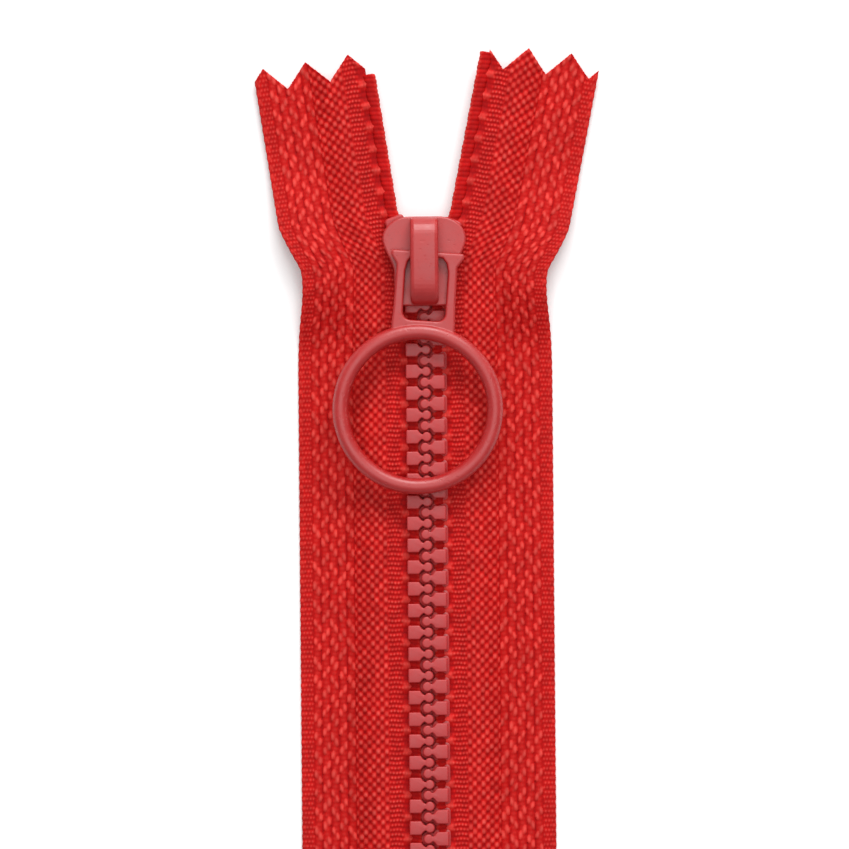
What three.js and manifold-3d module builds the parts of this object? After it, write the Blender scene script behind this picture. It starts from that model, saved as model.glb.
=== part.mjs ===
// A closed-end zipper with moulded teeth and a ring puller, lying face up. Millimetres, +Z up.
// +Y runs along the chain from the bottom stop to the slider, +X is the wearer's right of the chain.
// Each stringer is a woven tape with a bead cord along its inner edge. The teeth are moulded round the cord.
// The slider stands at the top of the chain, so the stringers part inside it and lean away beyond it.
import * as THREE from "three";
import { mergeVertices } from "three/addons/utils/BufferGeometryUtils.js";
import Module from "manifold-3d";

// Driving dimensions
const ZIP_LENGTH = 160; // bottom stop to the slider's top
const PITCH = 2.73; // tooth spacing along one row
const TAPE_OUTER = 16; // chain axis to the tape's outer edge
const TAPE_THICKNESS = 0.6;
const CHAIN_Z = 2.5; // height of the tape's middle in the chain
const CHAIN_THICKNESS = 2.6;
const CLEARANCE = 0.3; // between pieces that nearly touch
const TAIL = 16; // tape below the bottom stop

// Teeth and cord
const TOOTH_OUTER = 2.45; // chain axis to a tooth's outer side
const CORD_AXIS = 1.75;
const CORD_RADIUS = 0.5;
const TEETH_PER_SECTION = 5;
const TEETH_BELOW_PIVOT = 2; // stay closed when the zipper is fully open
const STOP_TOP = 0.1; // top edge of the bottom stop
const STOP_BOTTOM = -4;
const FIRST_TOOTH = 1.35;
const PIVOT = 5.9; // where the stringers start to part when the slider is right down
// One tooth's half outline: distance from the chain axis, distance from the tooth's middle.
const TOOTH_HALF = [
  [TOOTH_OUTER, 0.87],
  [0.95, 0.87],
  [0.45, 0.3],
  [-0.2, 0.6],
  [-0.62, 0.36],
];

// Slider, with s measured up from its lower end
const SLIDER_LENGTH = 10.6; // crown and upper works
const FOOT_S = -0.6; // the plates reach a little lower
const SLIDER_HALF = 5.25; // at the shoulders
const SLIDER_HALF_LOW = 3.75; // at the lower end
const SHOULDER_S = 7.8;
const FLARE_S = 3.9;
const FRONT_HALF = 1.8; // half width of the straight front edge
const PLATE = 1; // thickness of each plate
const CHAIN_GAP = 0.15; // plate to teeth
const RAIL_HEIGHT = 0.8;
const RAIL_END_S = 7.5;
const SLIDER_BOTTOM = ZIP_LENGTH - SLIDER_LENGTH;

// Where the stringers part
const PART_S = 3.4; // the rows start to turn out
const TURN_LENGTH = 2.6;
const MOUTH_ANGLE = 21;
const RELAX_LENGTH = 1.5;
const BODY_TURN = { from: -4, to: 18 }; // the tape's cross threads turn over this stretch of s

const SIDES = [
  { name: "left", sign: -1, lean: 8.8, tipU: 3.9, tipC: 20.9, firstTooth: FIRST_TOOTH, stopS: 10.1 },
  {
    name: "right",
    sign: 1,
    lean: 11.2,
    tipU: 1.4,
    tipC: 22.2,
    firstTooth: FIRST_TOOTH + PITCH / 2,
    stopS: 9.7,
  },
];
const PINK = { pitch: 5.4, depth: 3 }; // zigzag cut of the tape ends

// Pull
const BAR_S = 5.9;
const BAR_Z = 5.8;
const PULL_YAW = -4.2; // it lies a little to the left
const PULL_SHIFT = 0.45; // and its bar has slid a little to the right
const FRAME = { half: 3.97, flare: 4.55, window: 2.66, thickness: 1, bar: 0.9, windowEnd: 8.4 };
const RING = { centre: 19.5, radius: 9.7, wire: 1 };

// Crown
const CROWN = { half: 1.75, chamfer: 0.45, slotHalf: 0.85, top: 8.1, roof: 7.35 };
const PAWL = { half: 0.6, pivotS: 9.3, clawS: 2.2, low: 6.55, high: 6.85, tip: 3.95 };

const CHAIN_TOP = CHAIN_Z + CHAIN_THICKNESS / 2;
const CHAIN_LOW = CHAIN_Z - CHAIN_THICKNESS / 2;
const UPPER_PLATE_Z = CHAIN_TOP + CHAIN_GAP;
const LOWER_PLATE_Z = CHAIN_LOW - CHAIN_GAP - PLATE;

const RED_TAPE = { color: 0xc62a26, roughness: 0.85, metalness: 0 };
const RED_MOULDED = { color: 0xc65c5a, roughness: 0.55, metalness: 0 };
const RED_PAINT = { color: 0xb8484a, roughness: 0.45, metalness: 0.1 };
const STEEL = { color: 0xb8bcc0, roughness: 0.35, metalness: 1 };

const wasm = await Module();
wasm.setup();

// --- helpers -------------------------------------------------------------

function solidOf(geometry) {
  const bare = geometry.index ? geometry.toNonIndexed() : geometry.clone();
  for (const name of ["normal", "uv"]) bare.deleteAttribute(name);
  const merged = mergeVertices(bare, 1e-4);
  const mesh = new wasm.Mesh({
    numProp: 3,
    vertProperties: merged.attributes.position.array,
    triVerts: new Uint32Array(merged.index.array),
  });
  return new wasm.Manifold(mesh);
}

function geometryOf(solid) {
  const mesh = solid.getMesh();
  return new THREE.BufferGeometry()
    .setAttribute("position", new THREE.BufferAttribute(mesh.vertProperties, 3))
    .setIndex(new THREE.BufferAttribute(mesh.triVerts, 1));
}

function union(geometries) {
  return geometryOf(geometries.map(solidOf).reduce((a, b) => a.add(b)));
}

function cut(geometry, ...tools) {
  return geometryOf(tools.map(solidOf).reduce((a, b) => a.subtract(b), solidOf(geometry)));
}

function box(x0, x1, y0, y1, z0, z1) {
  const made = new THREE.BoxGeometry(x1 - x0, y1 - y0, z1 - z0);
  return made.translate((x0 + x1) / 2, (y0 + y1) / 2, (z0 + z1) / 2);
}

function prism(points, z0, z1) {
  const shape = new THREE.Shape(points.map(([x, y]) => new THREE.Vector2(x, y)));
  return new THREE.ExtrudeGeometry(shape, { depth: z1 - z0, bevelEnabled: false }).translate(0, 0, z0);
}

// A shape that is the same on both sides of x = 0, from the outline of its right half, lowest point first.
function mirrored(half) {
  return [...half, ...half.map(([x, y]) => [-x, y]).reverse()];
}

function node(name, geometry, look) {
  const mesh = new THREE.Mesh(geometry, new THREE.MeshStandardMaterial(look));
  mesh.name = name;
  return mesh;
}

// --- where a stringer runs -----------------------------------------------

const smooth = THREE.MathUtils.smoothstep;

// The row's heading at distance c along the chain, in radians away from +Y.
function heading(c, lean) {
  const s = c - SLIDER_BOTTOM;
  const turned = MOUTH_ANGLE * smooth(s, PART_S, PART_S + TURN_LENGTH);
  const relaxed = (MOUTH_ANGLE - lean) * smooth(s, SLIDER_LENGTH, SLIDER_LENGTH + RELAX_LENGTH);
  return THREE.MathUtils.degToRad(turned - relaxed);
}

// The cord's centre at distance c along it: how far out from its place in the closed chain, and how far along +Y.
function cordPlace(c, lean) {
  const start = SLIDER_BOTTOM + PART_S;
  if (c <= start) return { out: 0, y: c };
  const steps = Math.ceil((c - start) / 0.2);
  const step = (c - start) / steps;
  let out = 0;
  let y = start;
  for (let i = 0; i < steps; i++) {
    const angle = heading(start + (i + 0.5) * step, lean);
    out += step * Math.sin(angle);
    y += step * Math.cos(angle);
  }
  return { out, y };
}

// A point of the tape: c along the cord, u out from the chain axis, before the side's sign.
function tapePoint(side, c, u) {
  const { out, y } = cordPlace(c, side.lean);
  const s = c - SLIDER_BOTTOM;
  const turn = THREE.MathUtils.degToRad(side.lean) * smooth(s, BODY_TURN.from, BODY_TURN.to);
  const across = u - CORD_AXIS;
  return [side.sign * (CORD_AXIS + out + across * Math.cos(turn)), y - across * Math.sin(turn)];
}

// The tape is level where the slider holds it and comes down to the surface further out.
function tapeHeight(u) {
  return THREE.MathUtils.lerp(CHAIN_Z, TAPE_THICKNESS / 2, smooth(u, 6, 10.6));
}

// --- tape ----------------------------------------------------------------

// The zigzag's distance below its tips at u.
function pinked(u, tipU) {
  const phase = Math.abs((((u - tipU) / PINK.pitch) % 1) + 1) % 1;
  return 2 * PINK.depth * Math.min(phase, 1 - phase);
}

function tapeStations(tipU) {
  const inner = TOOTH_OUTER + CLEARANCE;
  const stations = [inner, 6, 7.3, 8.6, 10.6, TAPE_OUTER];
  for (let u = tipU - PINK.pitch; u < TAPE_OUTER; u += PINK.pitch / 2) {
    const apart = stations.every((other) => Math.abs(other - u) > 0.3);
    if (u > inner && apart) stations.push(u);
  }
  return stations.sort((a, b) => a - b);
}

// A closed slab over rows of [x, y, z] points, half the tape's thickness above and below them.
function slab(rows) {
  const across = rows[0].length;
  const count = rows.length * across;
  const position = [];
  for (const lift of [TAPE_THICKNESS / 2, -TAPE_THICKNESS / 2]) {
    for (const [x, y, z] of rows.flat()) position.push(x, y, z + lift);
  }
  const index = [];
  const quad = (a, b, c, d) => index.push(a, b, c, a, c, d);
  for (let j = 0; j < rows.length - 1; j++) {
    for (let i = 0; i < across - 1; i++) {
      const a = j * across + i;
      quad(a, a + 1, a + across + 1, a + across);
      quad(count + a, count + a + across, count + a + across + 1, count + a + 1);
    }
  }
  const rim = [
    ...rows[0].keys(),
    ...rows.slice(1).map((_, j) => (j + 2) * across - 1),
    ...[...rows[0].keys()].reverse().slice(1).map((i) => count - across + i),
    ...rows.slice(1, -1).map((_, j) => (j + 1) * across).reverse(),
  ];
  rim.forEach((a, k) => {
    const b = rim[(k + 1) % rim.length];
    quad(a, count + a, count + b, b);
  });
  const made = new THREE.BufferGeometry();
  made.setAttribute("position", new THREE.Float32BufferAttribute(position, 3));
  return made.setIndex(index);
}

// The rows run away from the chain on the right and towards it on the left, so that both slabs face out.
function tapeSlab(side, lines) {
  const stations = tapeStations(side.tipU);
  if (side.sign < 0) stations.reverse();
  return slab(
    lines.map((line) => stations.map((u) => [...tapePoint(side, line(u), u), tapeHeight(u)])),
  );
}

function tape(side) {
  const level = [PIVOT, 55, 100, 140, 146, 150, 153, 156, 159, 162, 165, 169, 173].map((c) => () => c);
  const end = (u) => ZIP_LENGTH + side.tipC - pinked(u, side.tipU);
  return tapeSlab(side, [...level, end]);
}

function tapeTail(side) {
  const end = (u) => STOP_BOTTOM - TAIL + pinked(u, side.tipU);
  return tapeSlab(side, [end, () => STOP_BOTTOM, () => PIVOT - CLEARANCE]);
}

// --- cord and teeth ------------------------------------------------------

class CordLine extends THREE.Curve {
  constructor(side, from, to) {
    super();
    Object.assign(this, { side, from, to });
  }
  getPoint(t, target = new THREE.Vector3()) {
    const c = THREE.MathUtils.lerp(this.from, this.to, t);
    return target.set(...tapePoint(this.side, c, CORD_AXIS), CHAIN_Z);
  }
}

function cord(side, from, to) {
  const section = new THREE.Shape().absarc(0, 0, CORD_RADIUS, 0, 2 * Math.PI);
  const straight = to <= SLIDER_BOTTOM + PART_S;
  return new THREE.ExtrudeGeometry(section, {
    steps: straight ? 1 : Math.ceil((to - from) / 2.5),
    curveSegments: 4,
    extrudePath: new CordLine(side, from, to),
  });
}

// Puts an outline of [u, along] points on the row at c, and gives it the chain's thickness.
function onRow(side, c, outline, low, high) {
  const { out, y } = cordPlace(c, side.lean);
  const angle = heading(c, side.lean);
  const points = outline.map(([u, along]) => {
    const across = u - CORD_AXIS;
    const x = CORD_AXIS + out + across * Math.cos(angle) + along * Math.sin(angle);
    return [side.sign * x, y - across * Math.sin(angle) + along * Math.cos(angle)];
  });
  return prism(points, low, high);
}

function tooth(side, c) {
  const outline = [...TOOTH_HALF, ...TOOTH_HALF.map(([u, along]) => [u, -along]).reverse()];
  return onRow(side, c, outline, CHAIN_LOW, CHAIN_TOP);
}

function toothSection(side, places) {
  const reach = PITCH / 2 - CLEARANCE / 2;
  const run = cord(side, places[0] - reach, places.at(-1) + reach);
  return union([run, ...places.map((c) => tooth(side, c))]);
}

// Splits a side's teeth into the ones below the pivot and sections of a few teeth above it.
function toothPlaces(side) {
  const last = SLIDER_BOTTOM + 8.2;
  const all = [];
  for (let c = side.firstTooth; c <= last; c += PITCH) all.push(c);
  const sections = [all.slice(0, TEETH_BELOW_PIVOT)];
  for (let i = TEETH_BELOW_PIVOT; i < all.length; i += TEETH_PER_SECTION) {
    sections.push(all.slice(i, i + TEETH_PER_SECTION));
  }
  return sections;
}

// A block moulded round the cord, slotted on its outer side for the tape's edge.
function topStop(side, c) {
  const outline = [[2.9, -0.9], [2.9, 0.5], [2.5, 0.9], [0.8, 0.9], [0.4, 0.5], [0.4, -0.9]];
  const slot = [[4, -2], [4, 2], [TOOTH_OUTER, 2], [TOOTH_OUTER, -2]];
  const reach = TAPE_THICKNESS / 2 + 0.05;
  return cut(
    onRow(side, c, outline, CHAIN_LOW, CHAIN_TOP),
    onRow(side, c, slot, CHAIN_Z - reach, CHAIN_Z + reach),
  );
}

function bottomStop() {
  const half = TOOTH_OUTER;
  const outline = mirrored([
    [half - 0.5, STOP_BOTTOM],
    [half, STOP_BOTTOM + 0.5],
    [half, STOP_TOP - 0.4],
    [half - 0.4, STOP_TOP],
  ]);
  return prism(outline, CHAIN_LOW, CHAIN_TOP);
}

// --- slider --------------------------------------------------------------

// The slider's outline seen from above: narrow at the lower end, round shoulders, straight front edge.
function sliderOutline() {
  const half = [
    [SLIDER_HALF_LOW - 0.5, FOOT_S],
    [SLIDER_HALF_LOW, FOOT_S + 0.5],
    [SLIDER_HALF_LOW, FLARE_S],
    [SLIDER_HALF - 0.1, SHOULDER_S - 0.7],
  ];
  for (let i = 0; i <= 5; i++) {
    const angle = (i / 5) * (Math.PI / 2);
    const x = FRONT_HALF + (SLIDER_HALF - FRONT_HALF) * Math.cos(angle);
    half.push([x, SHOULDER_S + (SLIDER_LENGTH - SHOULDER_S) * Math.sin(angle)]);
  }
  return mirrored(half.map(([x, s]) => [x, s + SLIDER_BOTTOM]));
}

// The channel that the two rows run through, open at both ends and wide beyond the rails.
function channelOutline() {
  const wall = (s) => TOOTH_OUTER + CLEARANCE + cordPlace(SLIDER_BOTTOM + s, SIDES[1].lean).out;
  const half = [[wall(0), FOOT_S - 1]];
  for (const s of [PART_S, 5, 6.5, RAIL_END_S]) half.push([wall(s), s]);
  half.push([SLIDER_HALF + 1, RAIL_END_S], [SLIDER_HALF + 1, SLIDER_LENGTH + 1]);
  return mirrored(half.map(([x, s]) => [x, s + SLIDER_BOTTOM]));
}

function sliderBody() {
  const outline = sliderOutline();
  const channel = channelOutline();
  const lowerTop = LOWER_PLATE_Z + PLATE;
  const rails = (low, high) => cut(prism(outline, low, high), prism(channel, low - 1, high + 1));
  const post = prism(
    [[0, SLIDER_BOTTOM + 7.9], [0.95, SLIDER_BOTTOM + 10.3], [-0.95, SLIDER_BOTTOM + 10.3]],
    lowerTop - 0.2,
    UPPER_PLATE_Z + 0.2,
  );
  const claw = SLIDER_BOTTOM + PAWL.clawS;
  return cut(
    union([
      prism(outline, LOWER_PLATE_Z, lowerTop),
      prism(outline, UPPER_PLATE_Z, UPPER_PLATE_Z + PLATE),
      rails(lowerTop - 0.1, lowerTop + RAIL_HEIGHT),
      rails(UPPER_PLATE_Z - RAIL_HEIGHT, UPPER_PLATE_Z + 0.1),
      post,
    ]),
    box(-0.9, 0.9, claw - 0.8, claw + 0.8, UPPER_PLATE_Z - 1, UPPER_PLATE_Z + PLATE + 1),
  );
}

// The bridge over the upper plate. Its side profile is an arch that the pull's bar passes through.
function crown() {
  const foot = UPPER_PLATE_Z + PLATE + 0.02;
  const profile = new THREE.Shape();
  profile.moveTo(SLIDER_LENGTH - 0.1, foot);
  profile.lineTo(SLIDER_LENGTH - 0.15, CROWN.top - 1.9);
  profile.quadraticCurveTo(SLIDER_LENGTH - 0.35, CROWN.top - 0.1, SLIDER_LENGTH - 2.2, CROWN.top - 0.05);
  profile.lineTo(6, CROWN.top);
  profile.lineTo(2.6, CROWN.top - 0.15);
  profile.quadraticCurveTo(0.3, CROWN.top - 0.2, -0.5, CROWN.top - 2);
  profile.lineTo(0.2, foot);
  profile.lineTo(3.6, foot);
  profile.quadraticCurveTo(3.9, BAR_Z + 0.8, 4.9, BAR_Z + 0.8);
  profile.lineTo(6.9, BAR_Z + 0.8);
  profile.quadraticCurveTo(7.7, BAR_Z + 0.8, 7.9, foot);
  const solid = new THREE.ExtrudeGeometry(profile, {
    depth: 2 * (CROWN.half - CROWN.chamfer),
    curveSegments: 3,
    bevelSegments: 1,
    bevelSize: CROWN.chamfer,
    bevelOffset: -CROWN.chamfer,
    bevelThickness: CROWN.chamfer,
  });
  solid.translate(0, 0, CROWN.chamfer - CROWN.half);
  solid.applyMatrix4(new THREE.Matrix4().makeBasis(
    new THREE.Vector3(0, 1, 0), new THREE.Vector3(0, 0, 1), new THREE.Vector3(1, 0, 0),
  ));
  solid.translate(0, SLIDER_BOTTOM, 0);
  const slot = [SLIDER_BOTTOM + 1.2, SLIDER_BOTTOM + PAWL.pivotS + 0.5];
  return cut(solid, box(-CROWN.slotHalf, CROWN.slotHalf, ...slot, foot - 1, CROWN.roof));
}

// A leaf along the crown's slot with a claw that drops through the upper plate.
function lockPawl() {
  const claw = SLIDER_BOTTOM + PAWL.clawS;
  return union([
    box(-PAWL.half, PAWL.half, claw - 0.4, SLIDER_BOTTOM + PAWL.pivotS + 0.2, PAWL.low, PAWL.high),
    box(-PAWL.half, PAWL.half, claw - 0.4, claw + 0.1, PAWL.tip, PAWL.high),
  ]);
}

// --- pull ----------------------------------------------------------------

// Made flat with its bar along X at the origin and the ring towards -Y.
function pullTab() {
  const topEdge = FRAME.bar / 2;
  const shape = new THREE.Shape();
  shape.moveTo(-FRAME.flare, topEdge);
  shape.lineTo(-FRAME.flare, -FRAME.bar / 2);
  shape.lineTo(-FRAME.half, -2);
  shape.lineTo(-FRAME.half, -RING.centre + RING.radius);
  shape.lineTo(FRAME.half, -RING.centre + RING.radius);
  shape.lineTo(FRAME.half, -2);
  shape.lineTo(FRAME.flare, -FRAME.bar / 2);
  shape.lineTo(FRAME.flare, topEdge);
  const frame = new THREE.ExtrudeGeometry(shape, { depth: FRAME.thickness, bevelEnabled: false });
  frame.translate(0, 0, -FRAME.thickness / 2);
  const w = FRAME.window;
  const round = 0.8;
  const window = prism(
    mirrored([
      [w - round, -FRAME.windowEnd],
      [w, -FRAME.windowEnd + round],
      [w, -FRAME.bar / 2 - round / 2],
      [w - round / 2, -FRAME.bar / 2],
    ]),
    -FRAME.thickness,
    FRAME.thickness,
  );
  const ring = new THREE.TorusGeometry(RING.radius, RING.wire, 8, 36).translate(0, -RING.centre, 0);
  // the frame's lower end stays outside the ring's opening
  const opening = new THREE.CylinderGeometry(RING.radius, RING.radius, 4, 36);
  opening.rotateX(Math.PI / 2).translate(0, -RING.centre, 0);
  return union([cut(frame, window, opening), ring]);
}

function pullGroup() {
  const group = new THREE.Group();
  group.add(node("pull_tab", pullTab(), RED_PAINT));
  group.position.set(PULL_SHIFT, SLIDER_BOTTOM + BAR_S, BAR_Z);
  group.rotation.order = "ZXY";
  group.rotation.z = THREE.MathUtils.degToRad(PULL_YAW);
  const drop = BAR_Z - (CHAIN_TOP + RING.wire + 0.08);
  group.rotation.x = Math.asin(drop / (RING.centre + RING.radius));
  return group;
}

// --- assembly ------------------------------------------------------------

const chain = new THREE.Group();
for (const side of SIDES) {
  const sections = toothPlaces(side);
  const stopPlace = SLIDER_BOTTOM + side.stopS;
  const tipPlace = ZIP_LENGTH + side.tipC - PINK.depth;
  chain.add(
    node(`${side.name}_tape`, tape(side), RED_TAPE),
    node(`${side.name}_tape_tail`, tapeTail(side), RED_TAPE),
    node(`${side.name}_cord_top`, cord(side, stopPlace + 0.9 + CLEARANCE, tipPlace), RED_TAPE),
    node(
      `${side.name}_cord_tail`,
      cord(side, STOP_BOTTOM - TAIL + PINK.depth, STOP_BOTTOM - CLEARANCE),
      RED_TAPE,
    ),
    node(`${side.name}_top_stop`, topStop(side, stopPlace), RED_MOULDED),
  );
  sections.forEach((places, i) => {
    const name = `${side.name}_teeth_${String(i + 1).padStart(2, "0")}`;
    chain.add(node(name, toothSection(side, places), RED_MOULDED));
  });
}
chain.add(
  node("bottom_stop", bottomStop(), RED_MOULDED),
  node("slider_body", sliderBody(), RED_PAINT),
  node("crown", crown(), RED_PAINT),
  node("lock_pawl", lockPawl(), STEEL),
  pullGroup(),
);

// The origin is the middle of the zipper's length, on the chain axis, at the surface that it lies on.
const zipper = new THREE.Group();
zipper.add(chain);
const extent = new THREE.Box3().setFromObject(chain);
chain.position.set(0, -(extent.min.y + extent.max.y) / 2, -extent.min.z);

export default zipper;
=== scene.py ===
"""Looks for the zipper: woven tapes, bead cords, moulded teeth, painted slider and ring pull.

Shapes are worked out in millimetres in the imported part's frame and become metres in mesh_object().
c is the distance along the chain from the bottom stop, u the distance out from the chain's axis.
"""

import math

import bpy
import numpy as np
from mathutils import Matrix, Vector


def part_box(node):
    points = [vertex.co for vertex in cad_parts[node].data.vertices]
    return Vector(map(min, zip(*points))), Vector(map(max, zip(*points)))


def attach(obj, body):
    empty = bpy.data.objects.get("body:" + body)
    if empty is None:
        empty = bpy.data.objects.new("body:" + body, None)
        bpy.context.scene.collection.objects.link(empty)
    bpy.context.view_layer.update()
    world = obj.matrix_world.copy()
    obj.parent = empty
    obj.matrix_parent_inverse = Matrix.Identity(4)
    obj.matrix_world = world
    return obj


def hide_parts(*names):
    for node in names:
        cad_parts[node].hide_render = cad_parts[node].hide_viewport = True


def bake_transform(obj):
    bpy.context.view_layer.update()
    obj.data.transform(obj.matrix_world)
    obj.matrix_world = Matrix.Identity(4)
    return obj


MM = 0.001
RNG = np.random.default_rng(7)

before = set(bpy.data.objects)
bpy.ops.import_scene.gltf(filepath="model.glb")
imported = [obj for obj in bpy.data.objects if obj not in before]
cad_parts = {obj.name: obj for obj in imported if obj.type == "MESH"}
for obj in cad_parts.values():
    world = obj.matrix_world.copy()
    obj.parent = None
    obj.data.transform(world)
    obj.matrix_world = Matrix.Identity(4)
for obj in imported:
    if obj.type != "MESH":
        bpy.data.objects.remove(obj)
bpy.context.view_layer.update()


def node_box(name):
    """A CAD node's lowest and highest corners, in millimetres."""
    low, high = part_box(name)
    return np.array(low) / MM, np.array(high) / MM


# --- sizes, from the frame ------------------------------------------------

SLIDER_LOW, SLIDER_HIGH = node_box("slider_body")
STOP_LOW, STOP_HIGH = node_box("bottom_stop")
CROWN_LOW, CROWN_HIGH = node_box("crown")
ZIP_LENGTH = 160.0
SLIDER_LENGTH = 10.6  # the slider's upper works; the plates reach a little lower
SLIDER_Y = SLIDER_HIGH[1] - SLIDER_LENGTH  # where s is 0
FOOT_S = SLIDER_LOW[1] - SLIDER_Y
Y0 = SLIDER_HIGH[1] - ZIP_LENGTH  # the frame's y where c is 0
SLIDER_C = ZIP_LENGTH - SLIDER_LENGTH
PITCH = 2.73
FIRST_TOOTH = 1.35
TAPE_OUTER = 16.0
CHAIN_LOW, CHAIN_TOP = STOP_LOW[2], STOP_HIGH[2]
CHAIN_Z = (CHAIN_LOW + CHAIN_TOP) / 2
TAPE_HALF = 0.3
CORD_AXIS = 1.75
TOOTH_OUTER = STOP_HIGH[0]
TAIL_END = -20.0
TAPE_INNER = 2.0  # the tape's inner edge, hidden in the cord
PINK_PITCH, PINK_DEPTH = 5.4, 3.0
# lean: the angle above the slider, in degrees; tip_u and tip_c: a tip of the pinked end;
# skew: how much further the cut runs for each millimetre outwards; stop_s: the top stop
SIDES = {
    "left": {
        "sign": -1,
        "lean": 8.8,
        "tip_u": 3.9,
        "tip_c": 21.5,
        "skew": 0.0,
        "first": FIRST_TOOTH,
        "stop_s": 10.1,
    },
    "right": {
        "sign": 1,
        "lean": 11.2,
        "tip_u": 1.4,
        "tip_c": 22.4,
        "skew": 0.08,
        "first": FIRST_TOOTH + PITCH / 2,
        "stop_s": 9.7,
    },
}
TEETH_BELOW_PIVOT = 2
TEETH_PER_SECTION = 5

# where the rows turn out, as in the CAD
PART_S, TURN_LENGTH, MOUTH_ANGLE, RELAX_LENGTH = 3.4, 2.6, 21.0, 1.5
TURN_FROM, TURN_TO = -4.0, 18.0
PATH_FROM, PATH_TO, PATH_STEP = -30.0, 200.0, 0.1


# --- helpers --------------------------------------------------------------


def smooth(x, low, high):
    """0 below low, 1 above high, and an eased step between."""
    t = np.clip((np.asarray(x, float) - low) / (high - low), 0, 1)
    return t * t * (3 - 2 * t)


def mesh_object(name, points, faces, smooth_shading=True):
    """An object from points in millimetres and an array of quads or a list of faces."""
    mesh = bpy.data.meshes.new(name)
    points = np.asarray(points, float) * MM
    if isinstance(faces, np.ndarray):
        mesh.vertices.add(len(points))
        mesh.vertices.foreach_set("co", points.astype(np.float32).ravel())
        count, corners = faces.shape
        mesh.loops.add(count * corners)
        mesh.loops.foreach_set("vertex_index", faces.astype(np.int32).ravel())
        mesh.polygons.add(count)
        mesh.polygons.foreach_set("loop_start", np.arange(count, dtype=np.int32) * corners)
        mesh.update(calc_edges=True)
    else:
        mesh.from_pydata(points.tolist(), [], faces)
    mesh.validate()
    if smooth_shading:
        mesh.shade_smooth()
    else:
        mesh.shade_flat()
    made = bpy.data.objects.new(name, mesh)
    bpy.context.scene.collection.objects.link(made)
    return made


def settle(obj):
    """Applies the object's modifiers, keeping its name."""
    graph = bpy.context.evaluated_depsgraph_get()
    graph.update()
    made = bpy.data.meshes.new_from_object(obj.evaluated_get(graph))
    old = obj.data
    obj.modifiers.clear()
    obj.data = made
    if old.users == 0:
        bpy.data.meshes.remove(old)
    return obj


def point_attribute(obj, name, values):
    made = obj.data.attributes.new(name, "FLOAT", "POINT")
    made.data.foreach_set("value", np.asarray(values, np.float32))


def place(obj, body, slot, material, *replaced):
    obj.data.materials.clear()
    obj.data.materials.append(material)
    if body:
        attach(obj, body)
    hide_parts(*replaced)
    return obj


# --- where a stringer runs ------------------------------------------------


class Row:
    """One side's path: how far out the cord runs at c, how far along +Y, and its heading."""

    def __init__(self, side):
        self.sign, self.lean = side["sign"], side["lean"]
        self.c = np.arange(PATH_FROM, PATH_TO, PATH_STEP)
        angle = self.heading(self.c)
        self.out = np.concatenate([[0], np.cumsum(PATH_STEP * np.sin(angle))[:-1]])
        self.along = PATH_FROM + np.concatenate([[0], np.cumsum(PATH_STEP * np.cos(angle))[:-1]])

    def heading(self, c):
        s = np.asarray(c, float) - SLIDER_C
        turned = MOUTH_ANGLE * smooth(s, PART_S, PART_S + TURN_LENGTH)
        relaxed = (MOUTH_ANGLE - self.lean) * smooth(s, SLIDER_LENGTH, SLIDER_LENGTH + RELAX_LENGTH)
        return np.radians(turned - relaxed)

    def turn(self, c):
        s = np.asarray(c, float) - SLIDER_C
        return np.radians(self.lean) * smooth(s, TURN_FROM, TURN_TO)

    def tape(self, c, u):
        """x and y of the tape's point, in the frame."""
        out = np.interp(c, self.c, self.out)
        along = np.interp(c, self.c, self.along)
        turn, across = self.turn(c), u - CORD_AXIS
        x = CORD_AXIS + out + across * np.cos(turn)
        return self.sign * x, along - across * np.sin(turn) + Y0

    def row(self, c, u, along):
        """x and y of a point of a tooth whose middle is at c."""
        out = np.interp(c, self.c, self.out)
        y = np.interp(c, self.c, self.along)
        angle, across = self.heading(c), u - CORD_AXIS
        x = CORD_AXIS + out + across * np.cos(angle) + along * np.sin(angle)
        return self.sign * x, y - across * np.sin(angle) + along * np.cos(angle) + Y0


ROWS = {name: Row(side) for name, side in SIDES.items()}


# --- materials ------------------------------------------------------------


def srgb(*rgb):
    """Display red, green and blue from 0 to 255 as linear colour."""
    v = np.array(rgb, float) / 255
    return [*np.where(v <= 0.04045, v / 12.92, ((v + 0.055) / 1.055) ** 2.4), 1.0]


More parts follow.
